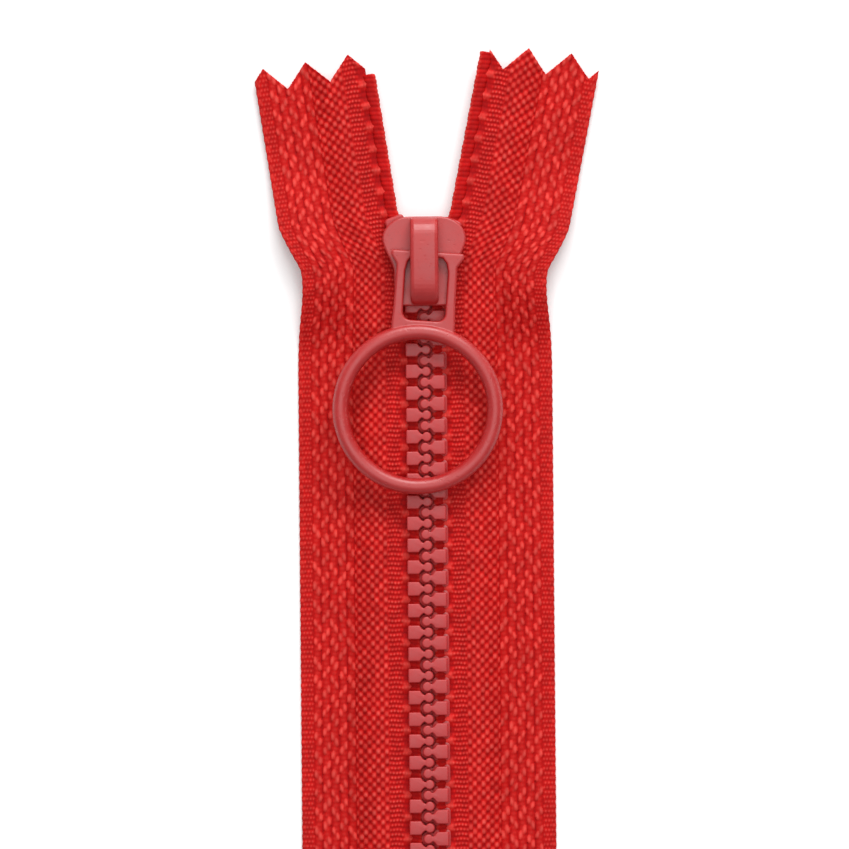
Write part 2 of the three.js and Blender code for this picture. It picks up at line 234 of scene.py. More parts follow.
class Nodes:
    """Short forms for building a material's nodes."""

    def __init__(self, name):
        self.material = bpy.data.materials.new(name)
        self.material.use_nodes = True
        self.tree = self.material.node_tree
        self.shader = self.tree.nodes["Principled BSDF"]

    def add(self, kind, inputs=(), **settings):
        node = self.tree.nodes.new(kind)
        for key, value in settings.items():
            setattr(node, key, value)
        for key, value in dict(inputs).items():
            self.put(node.inputs[key], value)
        return node

    def put(self, socket, value):
        if isinstance(value, bpy.types.NodeSocket):
            self.tree.links.new(value, socket)
        else:
            socket.default_value = value

    def noise(self, vector, scale, detail=2.0, roughness=0.5):
        node = self.add(
            "ShaderNodeTexNoise",
            {"Vector": vector, "Scale": scale, "Detail": detail, "Roughness": roughness},
        )
        return node.outputs["Fac"]

    def ramp(self, value, *stops):
        node = self.add("ShaderNodeValToRGB", {"Fac": value})
        points = node.color_ramp.elements
        while len(points) < len(stops):
            points.new(0.5)
        for point, (at, colour) in zip(points, stops):
            point.position = at
            point.color = colour
        return node.outputs["Color"]

    def span(self, value, low, high, to_low, to_high):
        node = self.add(
            "ShaderNodeMapRange",
            {"Value": value, "From Min": low, "From Max": high, "To Min": to_low, "To Max": to_high},
        )
        return node.outputs["Result"]

    def mix(self, factor, a, b, blend="MIX"):
        node = self.add("ShaderNodeMix", data_type="RGBA", blend_type=blend)
        self.put(node.inputs["Factor"], factor)
        self.put(node.inputs["A"], a)
        self.put(node.inputs["B"], b)
        return node.outputs["Result"]

    def maths(self, operation, a, b):
        node = self.add("ShaderNodeMath", operation=operation)
        self.put(node.inputs[0], a)
        self.put(node.inputs[1], b)
        return node.outputs[0]

    def scaled(self, vector, scale):
        return self.add("ShaderNodeMapping", {"Vector": vector, "Scale": scale}).outputs["Vector"]

    def bump(self, height, distance, strength):
        node = self.add("ShaderNodeBump", {"Height": height, "Distance": distance, "Strength": strength})
        return node.outputs["Normal"]


def grey(value):
    return (value, value, value, 1.0)


def tape_material():
    """Dyed polyester with painted shade and highlight: the relief's depth, stored on the mesh, darkens
    the weave's gaps (painted shade) and pales its tops to pink (painted highlight); each yarn's own tint
    is stored on the mesh too.
    """
    n = Nodes("woven_tape")
    where = n.add("ShaderNodeUVMap", uv_map="weave").outputs["UV"]
    depth = n.add("ShaderNodeAttribute", attribute_name="depth").outputs["Fac"]
    tint = n.add("ShaderNodeAttribute", attribute_name="tint").outputs["Fac"]
    # painted shade and highlight: deep red where the relief is low, pinkish red where it is high
    red = n.ramp(
        depth,
        (0.0, srgb(156, 0, 5)),
        (0.4, srgb(188, 14, 12)),
        (0.8, srgb(212, 56, 50)),
        (1.0, srgb(224, 84, 76)),
    )
    fibres = n.noise(n.scaled(where, (1.0, 0.16, 1.0)), 9000.0, 3.0, 0.6)
    patches = n.noise(where, 160.0, 3.0)
    red = n.mix(1.0, red, n.ramp(fibres, (0.3, grey(0.84)), (0.7, grey(1.12))), "MULTIPLY")
    red = n.mix(1.0, red, n.ramp(patches, (0.3, grey(0.94)), (0.7, grey(1.05))), "MULTIPLY")
    red = n.mix(1.0, red, n.ramp(tint, (0.0, grey(0.86)), (1.0, grey(1.14))), "MULTIPLY")
    n.put(n.shader.inputs["Base Color"], red)
    n.put(n.shader.inputs["Roughness"], n.span(fibres, 0.3, 0.7, 0.5, 0.72))
    n.put(n.shader.inputs["Specular IOR Level"], 0.12)
    n.put(n.shader.inputs["Normal"], n.bump(fibres, 0.00006, 0.7))
    return n.material


def moulded_material():
    """Acetal: matte, faintly mottled, paler on the worn top edges."""
    n = Nodes("moulded_red")
    where = n.add("ShaderNodeTexCoord").outputs["Object"]
    mottle = n.noise(where, 900.0, 3.0)
    grain = n.noise(where, 9000.0, 2.0)
    colour = n.ramp(mottle, (0.3, srgb(178, 14, 20)), (0.7, srgb(186, 24, 28)))
    edge = n.add("ShaderNodeNewGeometry").outputs["Pointiness"]
    colour = n.mix(n.span(edge, 0.5, 0.6, 0.0, 0.2), colour, srgb(196, 60, 58))
    n.put(n.shader.inputs["Base Color"], colour)
    n.put(n.shader.inputs["Roughness"], n.span(mottle, 0.3, 0.7, 0.42, 0.56))
    n.put(n.shader.inputs["Specular IOR Level"], 0.82)
    n.put(n.shader.inputs["Subsurface Weight"], 0.25)
    n.put(n.shader.inputs["Subsurface Radius"], (1.0, 0.1, 0.1))
    n.put(n.shader.inputs["Subsurface Scale"], 0.0008)
    n.put(n.shader.inputs["Normal"], n.bump(grain, 0.00002, 0.6))
    return n.material


def painted_material():
    """Matte enamel over a die casting: orange-peel, dust specks, and thin paint along the edges."""
    n = Nodes("painted_red")
    where = n.add("ShaderNodeTexCoord").outputs["Object"]
    mottle = n.noise(where, 500.0, 4.0)
    peel = n.noise(where, 2600.0, 2.0)
    specks = n.noise(where, 5200.0, 1.0)
    pits = n.noise(where, 1900.0, 1.0)
    colour = n.ramp(mottle, (0.3, srgb(173, 18, 20)), (0.7, srgb(182, 27, 27)))
    edge = n.add("ShaderNodeNewGeometry").outputs["Pointiness"]
    colour = n.mix(n.span(edge, 0.52, 0.62, 0.0, 0.35), colour, srgb(200, 84, 80))
    colour = n.mix(n.span(specks, 0.72, 0.8, 0.0, 0.75), colour, srgb(96, 26, 30))
    n.put(n.shader.inputs["Base Color"], colour)
    n.put(n.shader.inputs["Roughness"], n.span(mottle, 0.3, 0.7, 0.38, 0.5))
    n.put(n.shader.inputs["Specular IOR Level"], 0.88)
    height = n.maths("ADD", n.maths("MULTIPLY", peel, 0.4), n.span(pits, 0.68, 0.76, 0.6, 0.0))
    n.put(n.shader.inputs["Normal"], n.bump(height, 0.00005, 0.6))
    return n.material


def steel_material():
    n = Nodes("spring_steel")
    where = n.add("ShaderNodeTexCoord").outputs["Object"]
    brushed = n.noise(n.scaled(where, (1.0, 0.05, 1.0)), 9000.0, 3.0)
    n.put(n.shader.inputs["Base Color"], n.ramp(brushed, (0.3, grey(0.42)), (0.7, grey(0.6))))
    n.put(n.shader.inputs["Metallic"], 1.0)
    n.put(n.shader.inputs["Roughness"], n.span(brushed, 0.3, 0.7, 0.3, 0.5))
    n.put(n.shader.inputs["Normal"], n.bump(brushed, 0.00001, 0.5))
    return n.material


def floor_material():
    n = Nodes("pale_floor")
    where = n.add("ShaderNodeTexCoord").outputs["Object"]
    tone = n.noise(where, 14.0, 3.0)
    n.put(n.shader.inputs["Base Color"], n.ramp(tone, (0.3, grey(0.93)), (0.7, grey(0.95))))
    n.put(n.shader.inputs["Emission Color"], grey(1.0))
    n.put(n.shader.inputs["Emission Strength"], 0.08)
    n.put(n.shader.inputs["Roughness"], 0.9)
    n.put(n.shader.inputs["Specular IOR Level"], 0.1)
    return n.material


WOVEN = tape_material()
MOULDED = moulded_material()
PAINTED = painted_material()
STEEL = steel_material()


# --- woven tape -----------------------------------------------------------

# The tape's bands, from the chain outwards, and each band's yarns.
RIB_END, FINE_END, COARSE_END = 4.9, 9.1, 14.4
RIB_PITCH = 0.597
FINE_COLUMN, FINE_ROW = 0.55, 1.19
WALE, WALE_ROW = 1.065, 2.38
SELVEDGE_COLUMN = 0.42
WEAVE_SEEDS = {"left": 1, "right": 31}
TAPE_CORE = TAPE_HALF - 0.27  # half the cloth's thickness in the gaps of the weave


def hashed(a, b, seed):
    """A repeatable number from 0 to 1 for each pair of whole numbers."""
    v = np.sin(a * 127.1 + b * 311.7 + seed * 74.7) * 43758.5453
    return v - np.floor(v)


def jitter(a, b, seed):
    return hashed(a, b, seed) - 0.5


def bead(side, up, wide, tall):
    return np.sqrt(np.clip(1 - (side / wide) ** 2 - (up / tall) ** 2, 0, 1))


def fine_weave(u, c, seed):
    """Short floats in a staggered lattice, with a dark hole below each: height from 0 to 1, tint."""
    i = np.floor(u / FINE_COLUMN)
    across = u / FINE_COLUMN - i - 0.5
    along = c / FINE_ROW + 0.5 * np.mod(i, 2)
    j = np.floor(along)
    up = along - j - 0.5 + 0.12 * jitter(i, j, seed)
    side = across + 0.3 * jitter(i, j, seed + 6) * up + 0.16 * jitter(i, j, seed + 1)
    size = 0.9 + 0.25 * hashed(i, j, seed + 2)
    height = bead(side, up, 0.62 * size, 0.34 * size) * (0.8 + 0.2 * hashed(i, j, seed + 4))
    lattice = np.cos(2 * np.pi * along + np.pi) * np.cos(np.pi * across)
    return np.maximum(height, 0.42 + 0.4 * lattice), hashed(i, j, seed + 3)


# A wale's two files of floats: (place across the wale, phase in even wales, phase in odd wales).
FLOAT_FILES = ((-0.24, 0.99, 0.20), (0.24, 0.69, 0.46))


def wales(u, c, seed):
    """Broad wales with a groove on each side, each carrying two staggered files of short floats."""
    i = np.floor(u / WALE)
    across = u / WALE - i - 0.5 + 0.03 * np.sin(2 * np.pi * c / 7.3 + 5 * hashed(i, 0, seed))
    odd = np.mod(i, 2)
    height = 0.54 * np.clip(1 - (2.1 * across) ** 2, 0, 1) ** 0.5
    height *= 0.9 + 0.1 * np.cos(2 * np.pi * c / RIB_PITCH)
    tint = 0.35 + 0.3 * hashed(i, np.floor(c / WALE_ROW), seed)
    for centre, even_phase, odd_phase in FLOAT_FILES:
        along = c / WALE_ROW + np.where(odd == 0, even_phase, odd_phase)
        j = np.floor(along)
        up = along - j - 0.5 + 0.05 * jitter(i, j, seed + 1)
        lean = 0.9 * jitter(i, j, seed + 2)
        side = across - centre - lean * up + 0.08 * jitter(i, j, seed + 3)
        size = 0.88 + 0.24 * hashed(i, j, seed + 4)
        raised = bead(side, up, 0.29 * size, 0.24 * size)
        height = np.where(raised > 0, np.maximum(height, 0.35 + 0.57 * raised), height)
        tint = np.where(raised > 0, hashed(i, j, seed + 5), tint)
    return height, tint


def ribs(u, c, seed):
    """Weft loops round the cord, dotted where the warp crosses them."""
    phase = c / RIB_PITCH + 0.06 * np.sin(2 * np.pi * u / 1.7 + c / 3)
    j = np.floor(phase + 0.5)
    line = 0.5 + 0.5 * np.cos(2 * np.pi * phase)
    proud = 0.85 + 0.2 * hashed(j, 0, seed)
    dots = 0.72 + 0.34 * np.cos(2 * np.pi * (u / 0.42 + 0.5 * j))
    return line**0.7 * proud * dots, hashed(j, np.floor(u / 0.42), seed)


def selvedge(u, c, seed):
    """The woven edge: a fine staggered rib that runs out into a lobe at every other pick."""
    j = np.floor(c / RIB_PITCH)
    dots = 0.5 + 0.5 * np.cos(2 * np.pi * (u / SELVEDGE_COLUMN + 0.5 * np.mod(j, 2)))
    lines = 0.5 + 0.5 * np.cos(2 * np.pi * (c / RIB_PITCH - 0.5))
    lobes = (0.5 + 0.5 * np.cos(2 * np.pi * c / FINE_ROW)) * smooth(u, TAPE_OUTER - 0.9, TAPE_OUTER - 0.4)
    height = 0.25 + 0.6 * np.sqrt(dots) * lines
    return np.maximum(height, 0.65 * lobes), hashed(np.floor(u / SELVEDGE_COLUMN), j, seed)


def weave(u, c, seed, first_tooth):
    """The relief at u and c: (height in mm above the gaps, share of full depth, tint)."""
    zones = [
        (ribs(u, c, seed + 11), 0.17, -5, RIB_END),
        (fine_weave(u, c, seed), 0.22, RIB_END, FINE_END),
        (wales(u - FINE_END, c, seed + 5), 0.26, FINE_END, COARSE_END),
        (selvedge(u, c, seed + 17), 0.14, COARSE_END, 30),
    ]
    # share becomes the tape's depth attribute: painted shade where it is low, painted highlight where it
    # is high
    height, share, tint = np.zeros_like(u), np.zeros_like(u), np.zeros_like(u)
    for (value, own), tall, low, high in zones:
        weight = smooth(u, low - 0.1, low + 0.1) * (1 - smooth(u, high - 0.1, high + 0.1))
        height += weight * value * tall
        share += weight * value
        tint += weight * own
    # the weft bulges out between the teeth
    between = (0.5 - 0.5 * np.cos(2 * np.pi * (c - first_tooth) / PITCH)) ** 2
    beside = 1 - smooth(u, 2.9, 3.5)
    height = height * (1 - 0.8 * beside) + 0.27 * beside * between
    share = share * (1 - 0.75 * beside) + 0.7 * beside * between
    return height, share, tint


def tape_height(u, c):
    """The tape's middle: level in the chain, down on the surface outside, buckled where it turns."""
    base = CHAIN_Z + (TAPE_HALF - CHAIN_Z) * smooth(u, 6, 10.6)
    rise = 2.5 * smooth(c, SLIDER_C - 7, SLIDER_C + 3) - 1.9 * smooth(c, SLIDER_C + 5, SLIDER_C + 22)
    return base + rise * smooth(u, 6.5, 12)


def pinked(u, tip_u):
    """How far the zigzag end lies short of its tips."""
    phase = np.mod((u - tip_u) / PINK_PITCH, 1)
    return 2 * PINK_DEPTH * np.minimum(phase, 1 - phase)


def tape_stations():
    """Where across the tape its points lie, closer together where the weave is finer."""
    parts = [
        np.arange(TAPE_INNER, RIB_END, 0.13),
        np.arange(RIB_END, FINE_END, 0.13),
        np.arange(FINE_END, COARSE_END, 0.13),
        np.arange(COARSE_END, TAPE_OUTER - 0.12, 0.12),
        [TAPE_OUTER - 0.1, TAPE_OUTER],
    ]
    return np.concatenate(parts)


def tape_grid(side):
    """c and u of every point: rows of equal spacing that bunch up to the zigzag at both ends."""
    u = tape_stations()
    step = RIB_PITCH / 5
    top = ZIP_LENGTH + side["tip_c"] + side["skew"] * u - pinked(u, side["tip_u"])
    low = TAIL_END + pinked(u, side["tip_u"])
    fray = 0.1 * (hashed(np.arange(len(u)), 1, 3) - 0.5)
    straight = np.arange(TAIL_END + 5, ZIP_LENGTH + side["tip_c"] - 5, step)
    ends = np.linspace(0, 1, int(5 / step))[:, None]
    head = straight[-1] + ends[1:] * (top + fray - straight[-1])
    foot = straight[0] + ends[:0:-1] * (low - fray - straight[0])
    middle = np.repeat(straight[:, None], len(u), axis=1)
    c = np.concatenate([foot, middle, head])
    return c, np.repeat(u[None, :], len(c), axis=0)


def tape_plan(name, c, u):
    """x and y of the tape's points, with its scalloped edge and the waist beside the slider."""
    scallop = 0.03 * np.cos(2 * np.pi * c / FINE_ROW) * smooth(u, TAPE_OUTER - 0.5, TAPE_OUTER)
    waist = np.exp(-(((c - SLIDER_C - 2.0) / 5.3) ** 2))
    drawn_in = 0.65 * waist * smooth(u, 5, TAPE_OUTER)
    x, y = ROWS[name].tape(c, u)
    return x + SIDES[name]["sign"] * (scallop - drawn_in), y


def tape_rim(u):
    """The share of the cloth's thickness at u: it thins out so that its faces meet in a rounded edge."""
    rim = np.minimum((TAPE_OUTER - u) / 0.35, 1)
    rim[[0, -1]] = 0.0
    rim[[1, -2]] = 0.75
    return np.sqrt(np.clip(rim, 0.02, 1))


def tape_faces(rows, columns, turned):
    """Quads of a top sheet, a bottom sheet and the strip round their edges."""
    count = rows * columns
    grid = np.arange(count).reshape(rows, columns)
    corners_round = [grid[:-1, :-1], grid[:-1, 1:], grid[1:, 1:], grid[1:, :-1]]
    quads = np.stack(corners_round, axis=-1).reshape(-1, 4)
    ring = np.concatenate([grid[0], grid[1:, -1], grid[-1, -2::-1], grid[-2:0:-1, 0]])
    after = np.roll(ring, -1)
    edge = np.stack([ring, ring + count, after + count, after], axis=-1)
    if turned:
        quads, edge = quads[:, ::-1], edge[:, ::-1]
    return np.concatenate([quads, quads[:, ::-1] + count, edge])


def tape(name):
    side = SIDES[name]
    c, u = tape_grid(side)
    relief, share, tint = weave(u, c, WEAVE_SEEDS[name], side["first"])
    x, y = tape_plan(name, c, u)
    middle = tape_height(u, c)
    half = tape_rim(u) * (TAPE_CORE + relief)
    top, bottom = middle + half, np.maximum(middle - half, 0.0)
    points = np.concatenate([np.stack([x, y, z], axis=-1).reshape(-1, 3) for z in (top, bottom)])
    made = mesh_object(f"{name}_woven_tape", points, tape_faces(*c.shape, side["sign"] < 0))
    # the depth sets the tape's painted shade in the gaps and painted highlight on the tops
    point_attribute(made, "depth", np.tile(share.ravel(), 2))
    point_attribute(made, "tint", np.tile(tint.ravel(), 2))
    weave_map(made, np.tile(u.ravel(), 2), np.tile(c.ravel(), 2))
    place(made, None, "woven_red", WOVEN, f"{name}_tape", f"{name}_tape_tail")
    across_pivot(made)
    return made


def weave_map(obj, u, c):
    """Stores u and c, in metres, as the mesh's UV map."""
    layer = obj.data.uv_layers.new(name="weave")
    corner = np.zeros(len(obj.data.loops), np.int32)
    obj.data.loops.foreach_get("vertex_index", corner)
    pairs = np.stack([u[corner], c[corner]], axis=-1) * MM
    layer.data.foreach_set("uv", pairs.astype(np.float32).ravel())


def across_pivot(obj):
    """A piece that runs from the tail into the stringer: its transform is baked into its mesh."""
    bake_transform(obj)


CORD_MIDDLE = 1.62  # the cord's middle across the tape
CORD_POINTS = 20  # points round the cord
CORD_WIDE = 0.72  # the cord's half width
CORD_TALL = 0.4  # half its height
CORD_WRAP = 0.07  # how far its wrapping yarn stands out
CORD_STRAND = 0.03  # how far each of its three strands stands out
CORD_LAY = 2.1  # from one strand to the next, along the cord


def bead_cord(name):
    """The cord under the teeth, wrapped in the tape's edge yarns."""
    side, row = SIDES[name], ROWS[name]
    top = ZIP_LENGTH + side["tip_c"] - 0.5 - pinked(np.array([CORD_AXIS]), side["tip_u"])[0]
    low = TAIL_END + pinked(np.array([CORD_AXIS]), side["tip_u"])[0]
    step = RIB_PITCH / 6
    c = np.arange(low, top, step)
    count = CORD_POINTS
    angle = np.linspace(0, 2 * np.pi, count, endpoint=False)
    cc, aa = np.meshgrid(c, angle, indexing="ij")
    wrap = CORD_WRAP * np.sqrt(0.5 + 0.5 * np.cos(2 * np.pi * cc / RIB_PITCH + aa))
    strand = CORD_STRAND * np.cos(3 * aa + 2 * np.pi * cc / CORD_LAY)
    taper = np.ones_like(cc)
    taper[[0, -1]] = 0.6
    u = CORD_MIDDLE + taper * (CORD_WIDE + wrap + strand) * np.cos(aa)
    z = CHAIN_Z + taper * (CORD_TALL + wrap + strand) * np.sin(aa)
    x, y = row.tape(cc, u)
    grid = np.arange(len(c) * count).reshape(len(c), count)
    right = np.roll(grid, -1, axis=1)
    quads = np.stack([grid[:-1], grid[1:], right[1:], right[:-1]], axis=-1).reshape(-1, 4)
    faces = [*map(tuple, quads), tuple(grid[0]), tuple(grid[-1][::-1])]
    if side["sign"] > 0:
        faces = [f[::-1] for f in faces]
    points = np.stack([x, y, z], axis=-1).reshape(-1, 3)
    made = mesh_object(f"{name}_bead_cord", points, faces)
    # the depth for the tape's colour ramp: painted highlight where the wrapping yarn stands proud,
    # painted shade in the hollows between, and paler towards the cord's inner side
    share = 0.1 + 0.25 * (wrap / CORD_WRAP) + 0.5 * (1 - smooth(u, 0.8, 1.5))
    point_attribute(made, "depth", share.ravel())
    point_attribute(made, "tint", hashed(np.floor(cc / RIB_PITCH), 0, 5).ravel())
    weave_map(made, (aa * 0.7).ravel(), cc.ravel())
    place(made, None, "woven_red", WOVEN, f"{name}_cord_top", f"{name}_cord_tail")
    across_pivot(made)
    return made


# --- teeth ----------------------------------------------------------------


def tooth_outline():
    """A tooth seen from above, as (u, along) points: a square body, a waist and a round head."""
    half = [(TOOTH_OUTER, 0.72), (TOOTH_OUTER - 0.05, 0.83), (TOOTH_OUTER - 0.16, 0.87)]
    half += [(1.1, 0.87), (0.97, 0.83)]
    half += [(0.72, 0.5), (0.5, 0.33), (0.33, 0.34)]
    head_u, head_r = -0.1, 0.6
    for degrees in (40, 62, 84, 106, 128, 150, 170):
        a = math.radians(degrees)
        half.append((head_u + head_r * math.cos(a), head_r * math.sin(a)))
    return half + [(u, -along) for u, along in reversed(half)]


def inset(outline, by):
    """The outline moved in by that much, along each corner's bisector."""
    p = np.array(outline)
    before, after = p - np.roll(p, 1, 0), np.roll(p, -1, 0) - p
    before /= np.linalg.norm(before, axis=1)[:, None]
    after /= np.linalg.norm(after, axis=1)[:, None]
    tangent = before + after
    tangent /= np.linalg.norm(tangent, axis=1)[:, None]
    area = np.sum(p[:, 0] * np.roll(p[:, 1], -1) - np.roll(p[:, 0], -1) * p[:, 1])
    inward = np.stack([-tangent[:, 1], tangent[:, 0]], axis=1) * np.sign(area)
    return p + by * inward


def tooth_rings(tongue_z):
    """The tooth as a stack of outlines from bottom to top, with rounded edges: (outline, z)."""
    outline = np.array(tooth_outline())
    rounding = 0.15
    edge = []
    for degrees in (0, 30, 60, 90):
        a = math.radians(degrees)
        edge.append((inset(outline, rounding * (1 - math.sin(a))), rounding * (1 - math.cos(a))))
    stack = [(ring, CHAIN_LOW + rise) for ring, rise in edge]
    # a tongue round the middle closes the gap to the next tooth
    tongue = inset(outline, -0.26)
    stack.append((outline, tongue_z - 0.3))
    stack.append((tongue, tongue_z - 0.2))
    stack.append((tongue, tongue_z + 0.1))
    stack.append((outline, tongue_z + 0.2))
    return stack + [(ring, CHAIN_TOP - rise) for ring, rise in reversed(edge)]


# The two rows' tongues lie at different heights, so that none shares a face with its neighbour.
TEETH = {"left": tooth_rings(CHAIN_Z - 0.25), "right": tooth_rings(CHAIN_Z + 0.2)}
TOOTH_WOBBLE = 0.012


def tooth_section(name, number, places):
    """The teeth of one CAD section, each a rounded moulding of its own."""
    row, rings = ROWS[name], TEETH[name]
    points, faces = [], []
    for c in places:
        wobble = TOOTH_WOBBLE * RNG.standard_normal(2)
        base = len(points)
        size = len(rings[0][0])
        for ring, z in rings:
            x, y = row.row(c + wobble[0], ring[:, 0], ring[:, 1])
            points += [(a, b, z) for a, b in zip(x, y)]
        for k in range(len(rings) - 1):
            for i in range(size):
                j = (i + 1) % size
                low, high = base + k * size, base + (k + 1) * size
                faces.append((low + i, low + j, high + j, high + i))
        faces.append(tuple(base + i for i in reversed(range(size))))
        faces.append(tuple(base + (len(rings) - 1) * size + i for i in range(size)))
    flip = outline_sign() * row.sign
    if flip < 0:
        faces = [f[::-1] for f in faces]
    made = mesh_object(f"{name}_teeth_{number:02d}_moulded", points, faces)
    made.data.set_sharp_from_angle(angle=math.radians(50))
    body = "bottom_end" if number == 1 else f"{name}_stringer"
    return place(made, body, "moulded_red", MOULDED, f"{name}_teeth_{number:02d}")


def outline_sign():
    """1 if the tooth's outline runs anticlockwise."""
    p = np.array(tooth_outline())
    return np.sign(np.sum(p[:, 0] * np.roll(p[:, 1], -1) - np.roll(p[:, 0], -1) * p[:, 1]))


def tooth_places(side):
    last = SLIDER_C + 8.2
    every = np.arange(side["first"], last + 1e-6, PITCH)
    sections = [every[:TEETH_BELOW_PIVOT]]
    for i in range(TEETH_BELOW_PIVOT, len(every), TEETH_PER_SECTION):
        sections.append(every[i : i + TEETH_PER_SECTION])
    return sections


# --- castings -------------------------------------------------------------


def plate(outlines, low, high, rounding=0.0, steps=2):
    """A flat piece between two heights from closed outlines in x and y, the later ones holes."""
    curve = bpy.data.curves.new("plate", "CURVE")
    curve.dimensions = "2D"
    curve.fill_mode = "BOTH"
    curve.extrude = ((high - low) / 2 - rounding) * MM
    curve.bevel_depth = rounding * MM
    curve.bevel_resolution = steps
    curve.offset = -rounding * MM
    for outline in outlines:
        spline = curve.splines.new("POLY")
        spline.points.add(len(outline) - 1)
        for point, (x, y) in zip(spline.points, outline):
            point.co = (x * MM, y * MM, 0, 1)
        spline.use_cyclic_u = True
    made = bpy.data.objects.new("plate", curve)
    bpy.context.scene.collection.objects.link(made)
    bpy.context.view_layer.update()
    graph = bpy.context.evaluated_depsgraph_get()
    mesh = bpy.data.meshes.new_from_object(made.evaluated_get(graph))
    bpy.data.objects.remove(made)
    bpy.data.curves.remove(curve)
    mesh.transform(Matrix.Translation((0, 0, (low + high) / 2 * MM)))
    return mesh


def joined(meshes):
    points, faces, base = [], [], 0
    for mesh in meshes:
        points += [tuple(v.co / MM) for v in mesh.vertices]
        faces += [tuple(base + i for i in p.vertices) for p in mesh.polygons]
        base += len(mesh.vertices)
        bpy.data.meshes.remove(mesh)
    return points, faces


WELD = 0.002


def weld(obj, distance):
    made = obj.modifiers.new("weld", "WELD")
    made.merge_threshold = distance * MM
    return settle(obj)


def soften(obj, voxel):
    """Remeshes a closed piece and rounds its edges as paint rounds them."""
    remesh = obj.modifiers.new("remesh", "REMESH")
    remesh.mode = "VOXEL"
    remesh.voxel_size = voxel * MM * 1.0
    relax = obj.modifiers.new("relax", "SMOOTH")
    relax.factor = 0.5
    relax.iterations = 3
    settle(obj)
    obj.data.shade_smooth()
    return obj


def cast(name, meshes, voxel):
    """Overlapping closed meshes fused into one soft-edged piece."""
    return soften(weld(mesh_object(name, *joined(meshes)), WELD), voxel)


def arc(cx, cy, rx, ry, start, end, steps):
    for i in range(steps + 1):
        a = math.radians(start + (end - start) * i / steps)
        yield cx + rx * math.cos(a), cy + ry * math.sin(a)


def both_sides(half):
    return [*half, *[(-x, y) for x, y in reversed(half)]]


SLIDER_HALF = SLIDER_HIGH[0]
SLIDER_HALF_LOW, SHOULDER_S, FLARE_S, FRONT_HALF = 3.75, 7.8, 3.9, 1.8
PLATE = 1.0
UPPER_PLATE_Z = SLIDER_HIGH[2] - PLATE
LOWER_PLATE_TOP = SLIDER_LOW[2] + PLATE
RAIL_HEIGHT, RAIL_END_S = 0.8, 7.5
PAWL_LOW, PAWL_HIGH = node_box("lock_pawl")
CLAW_HOLE = (0.9, 0.8)  # half its width and half its length
POST_HALF = [(0.5, 8.9), (0.95, 10.1), (0.6, 10.4)]


def up_from_slider(points):
    return [(x, s + SLIDER_Y) for x, s in points]


def slider_outline():
    """The slider's outline seen from above: narrow foot, flared shoulders, rounded front."""
    half = [(SLIDER_HALF_LOW - 0.5, FOOT_S), (SLIDER_HALF_LOW - 0.15, FOOT_S + 0.12)]
    half.append((SLIDER_HALF_LOW, FOOT_S + 0.5))
    for i in range(13):
        s = FLARE_S + (SHOULDER_S - FLARE_S) * i / 12
        widen = float(smooth(s, FLARE_S - 0.6, SHOULDER_S + 0.2))
        half.append((SLIDER_HALF_LOW + (SLIDER_HALF - SLIDER_HALF_LOW) * widen, s))
    front = arc(FRONT_HALF, SHOULDER_S, SLIDER_HALF - FRONT_HALF, SLIDER_LENGTH - SHOULDER_S, 6, 90, 14)
    return both_sides(half + list(front))


def rail(sign):
    """One side wall: the channel's edge inside, the slider's outline outside."""
    row = ROWS["right"]
    inner = []
    for i in range(15):
        s = FOOT_S + (RAIL_END_S - FOOT_S) * i / 14
        out = float(np.interp(SLIDER_C + s, row.c, row.out))
        inner.append((TOOTH_OUTER + 0.3 + out, s))
    half = slider_outline()
    outer = [(x, s) for x, s in half[: len(half) // 2] if s <= RAIL_END_S]
    outer.append((outer[-1][0], RAIL_END_S))
    points = inner + outer[::-1]
    return up_from_slider([(sign * x, s) for x, s in points])


def slider_body():
    outline = up_from_slider(slider_outline())
    claw_y = PAWL_LOW[1] + 0.25
    low, high = claw_y - CLAW_HOLE[1], claw_y + CLAW_HOLE[1]
    hole = [(-CLAW_HOLE[0], low), (CLAW_HOLE[0], low), (CLAW_HOLE[0], high), (-CLAW_HOLE[0], high)]
    post = up_from_slider([(0, 7.7), *POST_HALF, *[(-x, s) for x, s in reversed(POST_HALF)]])
    parts = [
        plate([outline], SLIDER_LOW[2], LOWER_PLATE_TOP, 0.2),
        plate([outline, hole], UPPER_PLATE_Z, SLIDER_HIGH[2], 0.22),
        plate([post], LOWER_PLATE_TOP - 0.3, UPPER_PLATE_Z + 0.3),
    ]
    for sign in (-1, 1):
        parts.append(plate([rail(sign)], LOWER_PLATE_TOP - 0.3, LOWER_PLATE_TOP + RAIL_HEIGHT, 0.1))
        parts.append(plate([rail(sign)], UPPER_PLATE_Z - RAIL_HEIGHT, UPPER_PLATE_Z + 0.3, 0.1))
    made = cast("slider_body_cast", parts, 0.075)
    return place(made, "slider", "painted_red", PAINTED, "slider_body")


def on_side(mesh):
    """Stands a plate that was drawn in (y, z) and extruded along x."""
    turn = Matrix(((0, 0, 1, 0), (1, 0, 0, 0), (0, 1, 0, 0), (0, 0, 0, 1)))
    mesh.transform(turn)
    return mesh


BAR_S = 5.9
BAR_Z = 5.8
CROWN_CHAMFER, CROWN_SLOT_HALF = 0.45, 0.85


def quadratic(a, control, b, steps=8):
    for i in range(1, steps + 1):
        t = i / steps
        yield tuple((1 - t) ** 2 * a[k] + 2 * t * (1 - t) * control[k] + t * t * b[k] for k in (0, 1))


